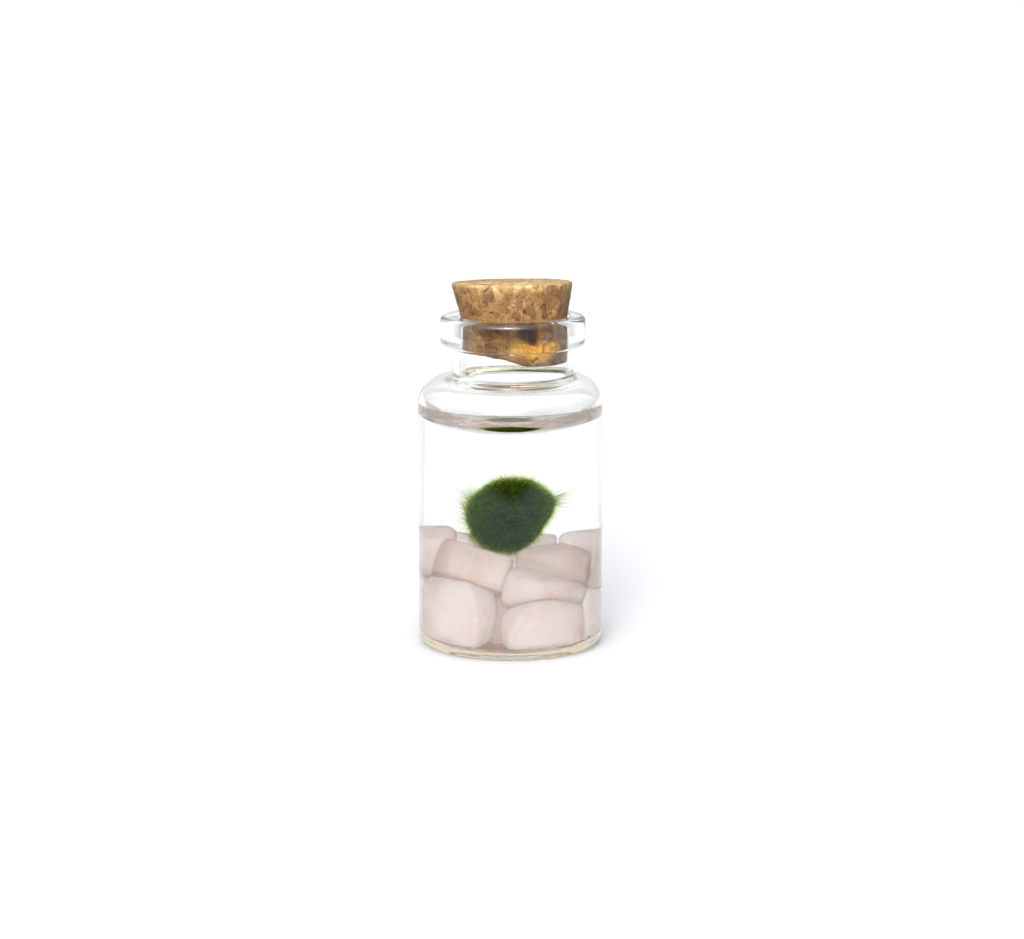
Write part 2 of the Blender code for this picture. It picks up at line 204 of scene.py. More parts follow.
# Moss ball: its shape is a rounded body with a bulge and a flatter side.
BALL_CENTRE = np.array((0.0, 0.0, 22.0)) * MM
BALL_HALF = np.array((5.45, 5.30, 6.05)) * MM
BALL_BUMPS = (
    # direction, how far the shape swells there, narrowness
    ((0.87, 0.0, -0.50), -1.05 * MM, 2.6),
    ((0.50, 0.0, 0.87), 0.45 * MM, 5.0),
    ((1.0, -0.2, 0.35), 0.45 * MM, 6.0),
    ((-0.50, 0.0, -0.86), 0.45 * MM, 3.0),
    ((-0.75, 0.0, 0.66), -0.25 * MM, 6.0),
)
HAIR_GROUPS = (
    # where on the ball, which way they lean, spread, count, longest
    ((0.0, 0.0, 0.01), (0.0, 0.0, 0.1), 1.0, 110, 1.5 * MM),
    ((-1.0, 0.0, 0.30), (-0.15, 0.0, 1.3), 0.22, 130, 3.2 * MM),
    ((-1.0, 0.0, -0.20), (-0.25, 0.0, 1.1), 0.24, 90, 2.6 * MM),
    ((1.0, 0.0, 0.42), (0.7, 0.0, 0.15), 0.10, 90, 3.3 * MM),
    ((0.35, 0.0, 1.0), (0.1, 0.0, 0.2), 0.25, 40, 1.3 * MM),
)

# Moss layers: how deep below the ball's shape they start, their lengths and radii, in millimetres.
FILAMENTS_PER_PIECE = 19000
FUZZ_PIECES = 2
CORE_DEPTH = 1.40
CORE_GREENS = ((0.3, (0.004, 0.012, 0.002)), (0.7, (0.016, 0.045, 0.004)))
CORE_LUMPS = (
    # seed, frequency, height in millimetres
    (5, 9.0, 0.10),
    (6, 24.0, 0.07),
)
FELT_SEED = 40
FELT_DEPTHS = (1.05, 1.45)
FELT_LENGTHS = (0.8, 1.7)
FELT_RADII = (0.016, 0.030)
FUZZ_SEED = 41
FUZZ_DEPTHS = (0.05, 1.05)
FUZZ_LENGTHS = (0.45, 1.0)
FUZZ_RADII = (0.013, 0.022)
FUZZ_BRIGHTER = 0.38
HAIR_SEED = 43
HAIR_DEPTH = 0.5
HAIR_LENGTHS = (0.45, 1.0)
HAIR_RADII = (0.015, 0.025)
HAIR_TONES = (0.3, 1.0)

# Felt: its axis, and how strongly it runs round that, with the swirls and its own way. Its bends are
# partly by chance and partly inward.
FELT_AXIS = (0.0, 0.12, 1.0)
FELT_WAYS = (0.35, 0.45, 0.55)
FELT_LIFT = (0.0, 0.3)
FELT_BENDS = (0.22, -0.16)

# Fuzz and hairs: how strongly they grow outwards, with the swirls or their group, and their own way.
FUZZ_WAYS = (0.20, 0.40, 0.80)
FUZZ_BEND = 0.60
HAIR_WAYS = (0.80, 1.0, 0.25)
HAIR_BEND = 0.35

# Seeds and frequencies of the swirls, and of the bright patches, which are flatter than they are wide.
FELT_SWIRLS = (21, 5.0)
FUZZ_SWIRLS = (22, 8.0)
TONE_PATCHES = (24, 7.0)
TONE_SQUEEZE = (1.0, 1.0, 1.6)

# A filament's brightness: the least, and the shares of chance, of its patch and of its height.
TONE_SHARES = (0.08, 0.75, 0.12, 0.12)
TONE_POWER = 1.8

# Where along a filament its rings stand, and how far it tapers before its tip.
SHORT_RINGS = (0.0, 0.55)
HAIR_RINGS = (0.0, 0.2, 0.4, 0.6, 0.8)
TAPER = 0.6

# The filaments' colours at the root, halfway and at the tip, for the darkest and the brightest.
FELT_TINTS = (
    ((0.001, 0.007, 0.001), (0.002, 0.020, 0.002), (0.006, 0.042, 0.003)),
    ((0.005, 0.028, 0.002), (0.024, 0.090, 0.006), (0.110, 0.230, 0.020)),
)
FUZZ_TINTS = (
    ((0.002, 0.010, 0.001), (0.006, 0.030, 0.002), (0.016, 0.060, 0.005)),
    ((0.020, 0.050, 0.005), (0.090, 0.170, 0.025), (0.260, 0.380, 0.090)),
)
THROUGH_TINTS = (
    ((0.120, 0.260, 0.008), (0.460, 0.680, 0.025), (0.880, 0.950, 0.140)),
    ((0.400, 0.560, 0.020), (0.900, 0.960, 0.120), (1.000, 1.000, 0.550)),
)
FILAMENT_LOOKS = (
    # material, its tints, and the shares of light that it passes on scattered and straight
    ("moss_felt", FELT_TINTS, 0.35, 0.15),
    ("moss_fuzz", FUZZ_TINTS, 0.82, 0.80),
    ("moss_hair", FUZZ_TINTS, 0.80, 0.40),
)

# Rose quartz stones: rounded blocks parted from their neighbours. A higher power sharpens the edges.
GAP = 0.04 * MM
BLOCK_POWER = 6.5
STONE_POWER = 22.0
STONE_CHIPS = 6
CHIP_LEAST_SLANT = 0.35
CHIP_DEPTH = (0.76, 0.90)
STONE_WEAR = (
    # frequency, depth in millimetres
    (330.0, 0.16),
    (1000.0, 0.06),
)
WALL_CLEARANCE = 0.3 * MM
NEIGHBOUR_REACH = 14.0 * MM
FRONT_STONE_LIMIT = -2.0 * MM
STONES = (
    # centre and half sizes in millimetres, turns about X, Y and Z in degrees, and milkiness
    ((-8.0, -6.6, 6.7), (6.3, 5.0, 6.2), (8, -2, -44), 1.0),
    ((5.2, -8.9, 4.9), (6.5, 4.5, 4.9), (-6, 6, 18), 1.0),
    ((-1.0, -0.6, 6.0), (5.8, 5.8, 6.4), (5, 10, 20), 0.4),
    ((10.0, -1.0, 5.4), (5.4, 6.8, 6.2), (0, -8, 12), 0.3),
    ((-8.6, 3.8, 6.6), (6.6, 6.6, 6.8), (10, 5, 30), 1.0),
    ((-2.6, 9.0, 6.8), (6.6, 6.2, 7.0), (-8, 4, 8), 1.0),
    ((5.2, 7.6, 6.4), (6.8, 6.6, 6.6), (6, -6, -28), 1.0),
    ((-6.0, -4.2, 13.5), (7.2, 5.6, 3.9), (-8, 20, 6), 0.3),
    ((4.6, -6.2, 10.2), (6.6, 5.4, 3.2), (10, 13, 6), 0.8),
    ((5.9, -3.6, 13.4), (5.8, 5.0, 3.6), (5, 5, 20), 0.3),
    ((10.2, 0.6, 12.8), (5.0, 6.4, 6.0), (-6, 2, 8), 0.7),
    ((-10.6, -1.6, 15.6), (3.6, 5.0, 3.4), (12, -8, -20), 0.7),
    ((0.2, 1.0, 11.4), (5.6, 5.6, 4.4), (0, 6, 40), 1.0),
    ((-8.0, 5.6, 13.7), (6.0, 6.0, 4.6), (-6, 8, 34), 1.0),
    ((-0.6, 9.4, 12.4), (6.0, 5.6, 4.0), (8, -5, 4), 1.0),
    ((6.0, 7.4, 11.6), (6.2, 5.8, 3.8), (5, 4, -40), 1.0),
)
STONE_CUTS = {
    # cut corners of a stone: direction, share of the corner's reach
    0: (((0.80, -0.45, 0.50), 0.80), ((0.80, -0.45, -0.50), 0.84)),
    1: (((-0.70, -0.30, 0.70), 0.80), ((0.72, -0.30, 0.66), 0.76)),
}
QUARTZ_CLASSES = {
    # how clear it is, roughness
    "milky": (0.64, 0.50),
    "clear": (0.80, 0.42),
    "dense": (0.34, 0.50),
}
QUARTZ_PINKS = (
    (0.40, (0.950, 0.820, 0.790)),
    (0.50, (0.990, 0.922, 0.905)),
    (0.60, (0.999, 0.976, 0.966)),
)
MILK_TINTS = ((0.0, (0.985, 0.965, 0.935)), (0.5, (0.990, 0.978, 0.972)), (1.0, (1.0, 1.0, 1.0)))
FLECK_SHARE = 0.80
FLECK_WHITE = (1.0, 0.985, 0.975)

# Stones whose centre is further back than this, in millimetres, and the low right one are dense, which
# brightens them: painted light for stones that lie in shade.
MILKY_LIMIT = 0.35
DENSE_BEHIND = 0.8
SHADED_LOW_RIGHT_STONE = 3
QUARTZ_MARKS = (
    # middle and half sizes in millimetres, tint
    ((11.8, -6.5, 13.1), (0.9, 2.5, 1.9), (0.90, 0.70, 0.62)),
    ((12.0, -6.2, 2.3), (0.4, 2.0, 0.4), (0.45, 0.38, 0.34)),
)

# The stones keep clear of the ball, within these half sizes.
KEPT_CLEAR = Vector((5.9, 5.9, 6.5)) * MM

# Floor: its outline in rows of (y, z, half width), and the warm glow beneath the jar's base, a painted
# pool of light: the floor shines there though it is no lamp.
FLOOR_WHITE = (0.490, 0.494, 0.504)
FLOOR_OUTLINE = ((-2.5, 0.0, 3.0), (3.5, 0.0, 3.0))
GRAIN_SHARE = 0.985
PAINTED_GLOW_STRENGTH = 0.47
PAINTED_GLOW_TINT = (1.0, 0.85, 0.64, 1.0)
PAINTED_GLOW_RADII = (12.5 * MM, 14.5 * MM)

# Cards in front of the jar, which only its reflections show: a grey one, painted shade on the floor in
# front, and darker ones on top of it.
REFLECTED_SHADE_GREY = (0.33, 0.42, 0.40)
GREY_CARD_OUTLINE = ((-0.152, 0.5 * MM, 0.4), (-0.05, 0.5 * MM, 0.4))
DARK_CARD_SHARES = (0.75, 0.45, 0.20, 0.02)
DARK_CARD_SPREAD = 0.012
DARK_CARD_FAR = -1.0
DARK_CARD_ROWS = (
    # place in front of the jar, half width there
    (-2.0, 2.0),
    (-0.40, 0.60),
    (-0.26, 0.26),
    (-0.20, 0.20),
    (-0.165, 0.16),
    (-0.152, 0.12),
    (-0.146, 0.06),
)

# Cards beside the jar, which only its edges show: grey sheets of painted shade on the floor. Angles are
# in degrees from straight behind the jar.
SIDE_SHADE_CARDS = (
    # side, share of the floor's white, angle where it starts
    (1.0, 0.76, 40.0),
    (1.0, 0.68, 50.0),
    (1.0, 0.42, 62.0),
    (-1.0, 0.74, 44.0),
    (-1.0, 0.62, 54.0),
    (-1.0, 0.32, 61.0),
)
SIDE_CARD_END = 105.0
SIDE_CARD_NEAR = 60.0 * MM
SIDE_CARD_FAR = 450.0 * MM

# Light: a white surround, brighter overhead and brightest at the front left, where a soft lamp stands.
LIGHT_WAY = Vector((-0.152, -0.861, 0.485)).normalized()
SURROUND_STRENGTH = 0.80
SURROUND_TINT = (0.97, 0.985, 1.0)
LOBE_STRENGTH = 12.0
LOBE_NARROWNESS = 14.0
OVERHEAD_STRENGTH = 1.3
LAMP_TINT = (1.0, 0.97, 0.94)
LAMP_DISTANCE = 4.0
LAMP_SIZE = 0.95
LAMP_POWER = 75.0


def add_node(tree, kind, inputs=None, **settings):
    """Add a shader node; an input is a value, or an output socket to link."""
    node = tree.nodes.new(kind)
    for name, value in settings.items():
        setattr(node, name, value)
    for name, value in (inputs or {}).items():
        if isinstance(value, bpy.types.NodeSocket):
            tree.links.new(value, node.inputs[name])
        else:
            node.inputs[name].default_value = value
    return node


def maths(tree, operation, *values):
    """The result of a Math node; a value is a number or an output socket."""
    return add_node(tree, "ShaderNodeMath", dict(enumerate(values)), operation=operation).outputs[0]


def vector_maths(tree, operation, *values, result="Vector"):
    """The result of a Vector Math node; a value is a vector or an output socket."""
    node = add_node(tree, "ShaderNodeVectorMath", dict(enumerate(values)), operation=operation)
    return node.outputs[result]


def noise_at(tree, place, scale, detail=2.0, roughness=0.5, distortion=0.0, result="Fac"):
    """Soft noise at a place."""
    settings = {"Vector": place, "Scale": scale, "Detail": detail, "Roughness": roughness}
    settings["Distortion"] = distortion
    return add_node(tree, "ShaderNodeTexNoise", settings).outputs[result]


def ranged(tree, value, start, end, first, last):
    """A value turned from one range into another, and held at its ends."""
    settings = {"Value": value, "From Min": start, "From Max": end, "To Min": first, "To Max": last}
    return add_node(tree, "ShaderNodeMapRange", settings).outputs["Result"]


def bumps(tree, height, strength, distance):
    """The normal of a surface with bumps."""
    settings = {"Height": height, "Strength": strength, "Distance": distance}
    return add_node(tree, "ShaderNodeBump", settings).outputs["Normal"]


def finish_surface(tree, output, settings):
    """Give a material its Principled shader."""
    shader = add_node(tree, "ShaderNodeBsdfPrincipled", settings)
    tree.links.new(shader.outputs["BSDF"], output.inputs["Surface"])


def new_material(name):
    """A material with nothing but its output node."""
    material = bpy.data.materials.new(name)
    material.use_nodes = True
    tree = material.node_tree
    tree.nodes.clear()
    return material, tree, tree.nodes.new("ShaderNodeOutputMaterial")


def place_of(tree):
    """The object's own coordinates, in metres."""
    return tree.nodes.new("ShaderNodeTexCoord").outputs["Object"]


def value_of(tree, name):
    """A value that the mesh stores at each of its points."""
    return add_node(tree, "ShaderNodeAttribute", attribute_name=name).outputs["Fac"]


def colour_ramp(tree, factor, stops):
    """A ramp from a list of (position, colour) stops."""
    ramp = add_node(tree, "ShaderNodeValToRGB", {"Fac": factor})
    elements = ramp.color_ramp.elements
    while len(elements) < len(stops):
        elements.new(0.5)
    for element, (position, colour) in zip(elements, stops):
        element.position = position
        element.color = (*colour, 1.0)
    return ramp.outputs["Color"]


def mixed(tree, factor, first, second, blend="MIX"):
    """Two colours mixed; each is a tuple or an output socket."""
    first, second = ((*value, 1.0) if isinstance(value, tuple) else value for value in (first, second))
    inputs = {0: factor, 6: first, 7: second}
    return add_node(tree, "ShaderNodeMix", inputs, data_type="RGBA", blend_type=blend).outputs[2]


def tinted(tree, colour, tint):
    """A colour multiplied by a tint."""
    return mixed(tree, 1.0, colour, tint, "MULTIPLY")


def add_object(name, data):
    """A new object in the scene."""
    item = bpy.data.objects.new(name, data)
    bpy.context.scene.collection.objects.link(item)
    return item


def add_piece(name, mesh, material, node):
    """A mesh as a piece of the object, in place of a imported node."""
    mesh.materials.append(material)
    mesh.shade_smooth()
    piece = add_object(name, mesh)
    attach(piece, "root")
    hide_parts(node)


def shaped_sphere(name, fineness, places_along):
    """A closed mesh: a sphere whose points go where a function puts them along their directions."""
    bm = bmesh.new()
    bmesh.ops.create_icosphere(bm, subdivisions=fineness, radius=1.0)
    directions = unit(np.array([vertex.co[:] for vertex in bm.verts]))
    for vertex, place in zip(bm.verts, places_along(directions)):
        vertex.co = place
    mesh = bpy.data.meshes.new(name)
    bm.to_mesh(mesh)
    bm.free()
    return mesh


def store(mesh, name, values):
    """Store one value for each point of a mesh."""
    attribute = mesh.attributes.new(name, "FLOAT", "POINT")
    attribute.data.foreach_set("value", np.asarray(values, np.float32))


def unit(vectors):
    """Each row made one long."""
    return vectors / np.linalg.norm(vectors, axis=1, keepdims=True)


def smooth_step(value, start, end):
    """0 before the start, 1 after the end, and a smooth rise between them."""
    share = min(1.0, max(0.0, (value - start) / (end - start)))
    return share * share * (3.0 - 2.0 * share)


def arc(x, z, radius, start, end, steps):
    """Points of an arc round (x, z); the angles are in degrees from +X towards +Z."""
    angles = [math.radians(start + (end - start) * step / steps) for step in range(steps + 1)]
    return [(x + radius * math.cos(angle), z + radius * math.sin(angle)) for angle in angles]


def straight(start, end, steps):
    """Points along a straight stretch, without its first and last."""
    shares = [step / steps for step in range(1, steps)]
    return [tuple(a + (b - a) * share for a, b in zip(start, end)) for share in shares]


def turned_mesh(name, profile, segments):
    """A closed mesh turned about Z from a profile that starts and ends on the axis."""
    rings = profile[1:-1]
    points = [(0.0, 0.0, profile[0][1])]
    for radius, height in rings:
        for segment in range(segments):
            angle = math.tau * segment / segments
            points.append((radius * math.cos(angle), radius * math.sin(angle), height))
    points.append((0.0, 0.0, profile[-1][1]))
    last = len(points) - 1
    faces = []
    for segment in range(segments):
        after = (segment + 1) % segments
        faces.append((0, 1 + segment, 1 + after))
        for ring in range(len(rings) - 1):
            low = 1 + ring * segments
            high = low + segments
            faces.append((low + segment, high + segment, high + after, low + after))
        end = last - segments
        faces.append((end + segment, last, end + after))
    mesh = bpy.data.meshes.new(name)
    mesh.from_pydata(points, [], faces)
    return mesh


# ---- glass jar ----


def jar_profile():
    """The jar's section: inside from the floor up, over the lip, outside down to the base."""
    inner_shoulder = SHOULDER_RADIUS - WALL
    ceiling = SHOULDER_HEIGHT + inner_shoulder
    shoulder_top = SHOULDER_HEIGHT + SHOULDER_RADIUS
    edge = LIP_RADIUS - LIP_ROUNDING
    points = [(0.0, FLOOR_HEIGHT + FLOOR_RISE)]
    points += straight(points[-1], (INNER_HEEL_X, FLOOR_HEIGHT), 10)
    points += arc(INNER_HEEL_X, INNER_HEEL_Z, INNER_HEEL_RADIUS, -90, 0, 10)
    points += straight(points[-1], (INNER_RADIUS, SHOULDER_HEIGHT), 24)
    points += arc(SHOULDER_CENTRE_X, SHOULDER_HEIGHT, inner_shoulder, 0, 90, 16)
    points += arc(BORE_RADIUS + BORE_FILLET, ceiling + BORE_FILLET, BORE_FILLET, -90, -180, 8)
    points += straight(points[-1], (BORE_RADIUS, LIP_TOP - MOUTH_ROUNDING), 10)
    points += arc(BORE_RADIUS + MOUTH_ROUNDING, LIP_TOP - MOUTH_ROUNDING, MOUTH_ROUNDING, 180, 90, 6)
    points += arc(edge, LIP_TOP - LIP_ROUNDING, LIP_ROUNDING, 90, 0, 8)
    points += arc(edge, LIP_BOTTOM + LIP_ROUNDING, LIP_ROUNDING, 0, -90, 8)
    points += arc(NECK_RADIUS + LIP_FILLET, LIP_BOTTOM - LIP_FILLET, LIP_FILLET, 90, 180, 6)
    points += arc(NECK_RADIUS + NECK_FILLET, shoulder_top + NECK_FILLET, NECK_FILLET, 180, 270, 6)
    points += arc(SHOULDER_CENTRE_X, SHOULDER_HEIGHT, SHOULDER_RADIUS, 90, 0, 18)[1:]
    points += straight(points[-1], (BODY_RADIUS, HEEL_RADIUS), 24)
    points += arc(BODY_RADIUS - HEEL_RADIUS, HEEL_RADIUS, HEEL_RADIUS, 0, -90, 10)
    for step in range(9):
        share = 1.0 - step / 8
        points.append((BASE_RING_RADIUS * share, PUNT_HEIGHT * (1.0 - share * share)))
    return points


def neck_shift(radius, height):
    """How far the jar's neck and bore stand to the side at a radius and a height."""
    inward = 1.0 - smooth_step(radius, BORE_RADIUS, NECK_RADIUS)
    return (NECK_SHIFT + BORE_SHIFT * inward) * smooth_step(height, SHIFT_START, SHIFT_END)


def all_within(tree, limits):
    """1 where each value lies between its two limits, and 0 elsewhere."""
    product = 1.0
    for value, low, high in limits:
        for operation, limit in (("GREATER_THAN", low), ("LESS_THAN", high)):
            product = maths(tree, "MULTIPLY", product, maths(tree, operation, value, limit))
    return product


def seeped(tree, square):
    """1 where water creeps up the front of the mouth, and 0 elsewhere."""
    place = place_of(tree)
    uneven = maths(tree, "MULTIPLY_ADD", noise_at(tree, place, 420.0), SEEP_WANDER, -SEEP_WANDER / 2)
    parts = add_node(tree, "ShaderNodeSeparateXYZ", {"Vector": place})
    height = maths(tree, "ADD", parts.outputs["Z"], uneven)
    depth = maths(tree, "ADD", parts.outputs["Y"], uneven)
    mouth = (BORE_RADIUS + NECK_RADIUS) / 2
    limits = (
        (square, -1.0, mouth * mouth),
        (height, SEEP_BOTTOM, LIP_TOP),
        (depth, -1.0, SEEP_FRONT),
    )
    return all_within(tree, limits)


def wetted(tree):
    """1 on the inner wall where water touches it, and 0 elsewhere."""
    place = add_node(tree, "ShaderNodeSeparateXYZ", {"Vector": place_of(tree)})
    square = maths(tree, "ADD", *(maths(tree, "POWER", place.outputs[axis], 2.0) for axis in "XY"))
    middle = INNER_RADIUS + WALL / 2
    limits = (
        (square, -1.0, middle * middle),
        (place.outputs["Z"], (FLOOR_HEIGHT + PUNT_HEIGHT) / 2, CONTACT_HEIGHT),
    )
    return maths(tree, "MAXIMUM", all_within(tree, limits), seeped(tree, square))


def glass_material():
    """Clear glass that is faintly green through its thick edges."""
    material, tree, output = new_material("clear_glass")
    waves = noise_at(tree, place_of(tree), 260.0, detail=1.0)
    settings = {
        **CLEAR,
        "IOR": ranged(tree, wetted(tree), 0.0, 1.0, GLASS_INDEX, GLASS_INDEX / WATER_INDEX),
        "Normal": bumps(tree, waves, 0.02, 0.5 * MM),
    }
    finish_surface(tree, output, settings)
    absorbed = {"Color": GLASS_ABSORPTION, "Density": GLASS_DENSITY}
    absorption = add_node(tree, "ShaderNodeVolumeAbsorption", absorbed)
    tree.links.new(absorption.outputs["Volume"], output.inputs["Volume"])
    return material


def make_jar():
    """The jar, as one closed glass shell."""
    mesh = turned_mesh("glass_jar_clear", jar_profile(), JAR_SEGMENTS)
    for vertex in mesh.vertices:
        vertex.co.x += neck_shift(math.hypot(vertex.co.x, vertex.co.y), vertex.co.z)
    add_piece("glass_jar_clear", mesh, glass_material(), "glass_jar")


# ---- water ----


def meniscus(slope):
    """How far from the wall, and how high, the climbing water has a slope."""
    reach = [math.log(math.tan(angle / 4)) + 2.0 * math.cos(angle / 2) for angle in (WALL_SLOPE, slope)]
    return CAPILLARY_LENGTH * (reach[0] - reach[1]), 2.0 * CAPILLARY_LENGTH * math.sin(slope / 2)


def inner_radius(height):
    """The radius of the jar's inner wall at a height above its heel."""
    above = max(0.0, height - SHOULDER_HEIGHT)
    return SHOULDER_CENTRE_X + math.sqrt((SHOULDER_RADIUS - WALL) ** 2 - above ** 2)


def water_material(name, index):
    """Clear water."""
    material, tree, output = new_material(name)
    finish_surface(tree, output, {**CLEAR, "IOR": index})
    return material


def make_water():
    """The water: its surface bends light, and its sides pass it on to the wetted glass."""
    edge = INNER_RADIUS - WATER_FILM
    floor = FLOOR_HEIGHT + WATER_FILM
    heel = INNER_HEEL_RADIUS
    profile = [(0.0, WATER_LEVEL)]
    for step in range(1, SURFACE_STEPS + 1):
        away, climb = meniscus(WALL_SLOPE * (step / SURFACE_STEPS) ** SURFACE_SPACING)
        height = WATER_LEVEL + climb
        if away < edge:
            profile.append((min(edge - away, inner_radius(height) - WATER_FILM), height))
    surface_rings = len(profile) - 2
    profile += straight(profile[-1], (edge, floor + heel), 12)
    profile += arc(edge - heel, floor + heel, heel, 0, -90, 10)
    profile += straight(profile[-1], (0.0, floor + FLOOR_RISE), 10)
    profile.append((0.0, floor + FLOOR_RISE))
    mesh = turned_mesh("water_body", profile, JAR_SEGMENTS)
    add_piece("water_body", mesh, water_material("water", WATER_INDEX), "water")
    mesh.materials.append(water_material("water_side", 1.0))
    for face in mesh.polygons:
        rings = [(vertex - 1) // JAR_SEGMENTS for vertex in face.vertices]
        face.material_index = 0 if min(rings) < surface_rings else 1


# ---- cork ----


def seat_cork(point):
    """Where a point of an upright cork lies when its grip fills the bore and its top leans."""
    top = CORK_TOP_HEIGHT - CORK_GRIP_HEIGHT
    share = min(1.0, max(0.0, (point.z - CORK_GRIP_HEIGHT) / top))
    pivot = Vector((0.0, 0.0, CORK_GRIP_HEIGHT))
    lean = Euler((CORK_LEAN_BACK * share, CORK_LEAN_SIDE * share, 0.0)).to_matrix()
    side = Vector((NECK_SHIFT + BORE_SHIFT + CORK_TOP_SHIFT * share, 0.0, 0.0))
    return pivot + lean @ (point - pivot) + side


def cork_profile():
    """An upright cork's section: its top, its tapered side, its grip and its lower end."""
    top_edge = (CORK_TOP_RADIUS - CORK_EDGE, CORK_TOP_HEIGHT - CORK_EDGE)
    end_edge = (CORK_GRIP_RADIUS - CORK_EDGE, CORK_END_HEIGHT + CORK_EDGE)
    points = [(0.0, CORK_TOP_HEIGHT)]
    points += straight(points[0], (top_edge[0], CORK_TOP_HEIGHT), 56)
    points += arc(*top_edge, CORK_EDGE, 90, 0, 4)
    points += straight(points[-1], (CORK_GRIP_RADIUS, CORK_GRIP_HEIGHT), 40)
    points += straight((CORK_GRIP_RADIUS, CORK_GRIP_HEIGHT), (CORK_GRIP_RADIUS, end_edge[1]), 34)
    points += arc(*end_edge, CORK_EDGE, 0, -90, 4)
    points += straight(points[-1], (0.0, CORK_END_HEIGHT), 40)
    points.append((0.0, CORK_END_HEIGHT))
    return points


def granules():
    """The middles of the cork's granules, in a tree that finds the nearest, and their tones."""
    noise.seed_set(WARP_SEED)
    source = random.Random(GRANULE_SEED)
    tree = kdtree.KDTree(GRANULE_COUNT)
    across = (-CORK_TOP_RADIUS, CORK_TOP_RADIUS)
    limits = (across, across, (CORK_END_HEIGHT - 2 * MM, CORK_TOP_HEIGHT))
    for index in range(GRANULE_COUNT):
        tree.insert([source.uniform(*limit) for limit in limits], index)
    tree.balance()
    tones = [source.random() for _ in range(GRANULE_COUNT)]
    return tree, tones


def grain_at(point, tree, tones):
    """The tone of the granule at a point, how near its seam is, and how deep a crack is there."""
    warped = point + noise.noise_vector(point * WARP_FREQUENCY) * GRANULE_WARP
    (_, first, near), (_, second, far) = tree.find_n(warped, 2)
    gap = far - near
    pair = random.Random(min(first, second) * GRANULE_COUNT + max(first, second)).random()
    seam = 1.0 - smooth_step(gap, 0.0, SEAM_WIDTH)
    crack = 1.0 - smooth_step(gap, CRACK_WIDTH * 0.3, CRACK_WIDTH) if pair < CRACK_SHARE else 0.0
    return tones[first], seam, crack


def patched(tree, colour, patches):
    """A colour with patches of another tint, which fade at their uneven edges."""
    place = place_of(tree)
    wander = noise_at(tree, place, 900.0, detail=3.0, result="Color")
    uneven = vector_maths(tree, "MULTIPLY_ADD", wander, (PATCH_WANDER,) * 3, place)
    for middle, half, tint in patches:
        centre = Vector(middle) * MM + Vector((PATCH_WANDER / 2,) * 3)
        away = vector_maths(tree, "SUBTRACT", uneven, centre)
        scaled = vector_maths(tree, "DIVIDE", away, Vector(half) * MM)
        length = vector_maths(tree, "LENGTH", scaled, result="Value")
        share = ranged(tree, length, PATCH_CORE, 1.0, 1.0, 0.0)
        colour = mixed(tree, share, colour, tinted(tree, colour, tint))
    return colour


def cork_streaks(tree, place, tone):
    """Fine streaks that run another way in each granule."""
    angle = maths(tree, "MULTIPLY", tone, STREAK_TURN)
    settings = {"Vector": place, "Axis": STREAK_AXIS, "Angle": angle}
    turned = add_node(tree, "ShaderNodeVectorRotate", settings)
    streaked = vector_maths(tree, "MULTIPLY", turned.outputs[0], STREAK_SCALE)
    return noise_at(tree, streaked, 1.0, detail=3.0, roughness=0.6)


def cork_colour(tree, place, tone, streaks):
    """The browns of the granules, their streaks and specks, and the seams and cracks between them."""
    colour = colour_ramp(tree, tone, CORK_BROWNS)
    colour = tinted(tree, colour, colour_ramp(tree, streaks, STREAK_SHADES))
    specks = noise_at(tree, place, 3200.0, distortion=0.6)
    colour = tinted(tree, colour, colour_ramp(tree, specks, SPECK_SHADES))
    seam = maths(tree, "MULTIPLY", value_of(tree, "seam"), SEAM_SHARE)
    colour = mixed(tree, seam, colour, SEAM_BROWN)
    return mixed(tree, value_of(tree, "crack"), colour, CRACK_BROWN)


def cork_material():
    """Pressed cork granules in many browns, with damp and dry patches, painted light on its top and
    painted shade on its sides.
    """
    material, tree, output = new_material("pressed_cork")
    place = place_of(tree)
    tone = value_of(tree, "tone")
    streaks = cork_streaks(tree, place, tone)
    settings = {
        "Base Color": patched(tree, cork_colour(tree, place, tone, streaks), CORK_STAINS_AND_PAINTED_LIGHT),
        "Roughness": 0.75,
        "Normal": bumps(tree, streaks, 0.5, 0.1 * MM),
    }
    finish_surface(tree, output, settings)
    return material


def make_cork():
    """The cork, with every granule, seam and crack in its surface."""
    mesh = turned_mesh("cork_stopper", cork_profile(), CORK_SEGMENTS)
    tree, tones = granules()
    grains = [grain_at(vertex.co, tree, tones) for vertex in mesh.vertices]
    normals = [vertex.normal.copy() for vertex in mesh.vertices]
    for vertex, normal, (tone, seam, crack) in zip(mesh.vertices, normals, grains):
        if vertex.co.z < CORK_GRIP_HEIGHT:
            share = (CORK_GRIP_HEIGHT - vertex.co.z) / (CORK_GRIP_HEIGHT - CORK_END_HEIGHT)
            vertex.co.z += share * (float(np.interp(vertex.co.x, *zip(*CORK_END))) - CORK_END_HEIGHT)
        depth = seam * SEAM_DEPTH + crack * CRACK_DEPTH + (tone - 1.0) * SEAM_DEPTH
        vertex.co = seat_cork(vertex.co - normal * depth)
    for index, name in enumerate(("tone", "seam", "crack")):
        store(mesh, name, [grain[index] for grain in grains])
    add_piece("cork_stopper", mesh, cork_material(), "cork")


# ---- rose quartz ----


def quartz_colour(tree, place):
    """Pale pink clouds and white flecks, and yellower where a stone is less milky."""
    clouds = noise_at(tree, place, 300.0, detail=8.0, roughness=0.75)
    colour = colour_ramp(tree, clouds, QUARTZ_PINKS)
    milk = colour_ramp(tree, value_of(tree, "milk"), MILK_TINTS)
    colour = patched(tree, tinted(tree, colour, milk), QUARTZ_MARKS)
    flecks = noise_at(tree, place, 520.0, detail=6.0, roughness=0.75, distortion=1.4)
    fleck = colour_ramp(tree, flecks, ((0.52, (0.0, 0.0, 0.0)), (0.66, (1.0, 1.0, 1.0))))
    return mixed(tree, maths(tree, "MULTIPLY", fleck, FLECK_SHARE), colour, FLECK_WHITE)


